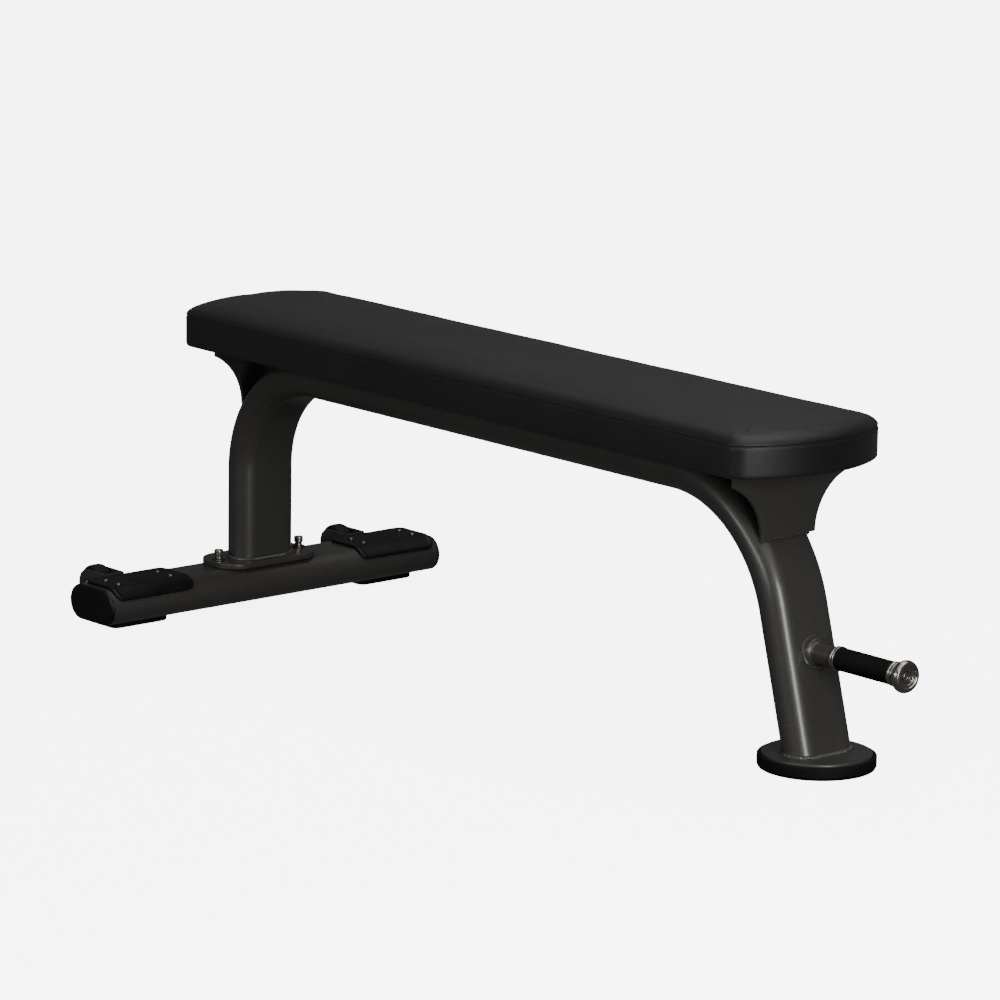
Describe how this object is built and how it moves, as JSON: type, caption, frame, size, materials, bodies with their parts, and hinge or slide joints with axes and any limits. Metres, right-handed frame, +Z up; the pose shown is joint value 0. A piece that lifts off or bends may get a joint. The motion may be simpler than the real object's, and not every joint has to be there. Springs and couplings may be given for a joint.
{
  "type": "flat weight bench",
  "caption": "Flat weight bench: padded top on a bent flat-oval tube frame, with transport wheels and a lifting handle.",
  "frame": {"origin": "on the floor, under the middle of the whole bench's bounding box", "axes": "+X along the bench towards the handle, +Y to the left side, +Z up"},
  "size_m": [1.413, 0.59, 0.44],
  "materials": {
    "frame_paint": "charcoal metallic powder coat, satin to gloss",
    "black_rubber": "matt moulded black rubber",
    "wheel_rubber": "matt black tyre rubber",
    "black_plastic": "satin textured black plastic",
    "polished_steel": "polished plated steel",
    "zinc_steel": "zinc plated fastener steel",
    "pad_vinyl": "black upholstery vinyl with a fine grain and stitched seams",
    "pad_foam": "dense open-cell foam",
    "plywood": "unfinished plywood",
    "bronze": "plain sintered bronze"
  },
  "bodies": {
    "frame": {"main_frame_tube": "frame_paint", "rear_beam_tube": "frame_paint", "upright_flange_plate": "frame_paint", "front_foot_plate": "frame_paint", "front_foot_rubber": "black_rubber", "front_bracket": "frame_paint", "rear_bracket": "frame_paint", "pad_mounting_bar": "frame_paint", "pad_board": "plywood", "pad_foam": "pad_foam", "pad_cover": "pad_vinyl", "handle_bar": "frame_paint", "handle_inner_collar": "polished_steel", "handle_grip": "black_rubber", "handle_outer_collar": "polished_steel", "handle_end_cap": "polished_steel", "handle_cap_screw": "polished_steel", "beam_end_cap_left": "black_plastic", "beam_foot_left": "black_rubber", "flange_bolt_left": "polished_steel", "flange_washer_left": "zinc_steel", "flange_nut_left": "zinc_steel", "beam_guard_left": "black_plastic", "wheel_bracket_left": "frame_paint", "wheel_axle_bolt_left": "zinc_steel", "wheel_axle_nut_left": "zinc_steel", "guard_screw_left_1": "zinc_steel", "guard_screw_left_2": "zinc_steel", "guard_screw_left_3": "zinc_steel", "guard_screw_left_4": "zinc_steel", "beam_end_cap_right": "black_plastic", "beam_foot_right": "black_rubber", "flange_bolt_right": "polished_steel", "flange_washer_right": "zinc_steel", "flange_nut_right": "zinc_steel", "beam_guard_right": "black_plastic", "wheel_bracket_right": "frame_paint", "wheel_axle_bolt_right": "zinc_steel", "wheel_axle_nut_right": "zinc_steel", "guard_screw_right_1": "zinc_steel", "guard_screw_right_2": "zinc_steel", "guard_screw_right_3": "zinc_steel", "guard_screw_right_4": "zinc_steel", "pad_bolt_front_left": "zinc_steel", "pad_bolt_front_right": "zinc_steel", "pad_bolt_rear_left": "zinc_steel", "pad_bolt_rear_right": "zinc_steel"},
    "wheel_left": {"wheel_tyre_left": "wheel_rubber", "wheel_hub_left": "black_plastic", "wheel_bush_left": "bronze"},
    "wheel_right": {"wheel_tyre_right": "wheel_rubber", "wheel_hub_right": "black_plastic", "wheel_bush_right": "bronze"}
  },
  "joints": [
    {"name": "wheel_left_spin", "type": "hinge", "parent": "frame", "child": "wheel_left", "pos_m": [-0.6815, 0.2165, 0.0405], "axis": [0, 1, 0], "continuous": true},
    {"name": "wheel_right_spin", "type": "hinge", "parent": "frame", "child": "wheel_right", "pos_m": [-0.6815, -0.2165, 0.0405], "axis": [0, 1, 0], "continuous": true}
  ]
}
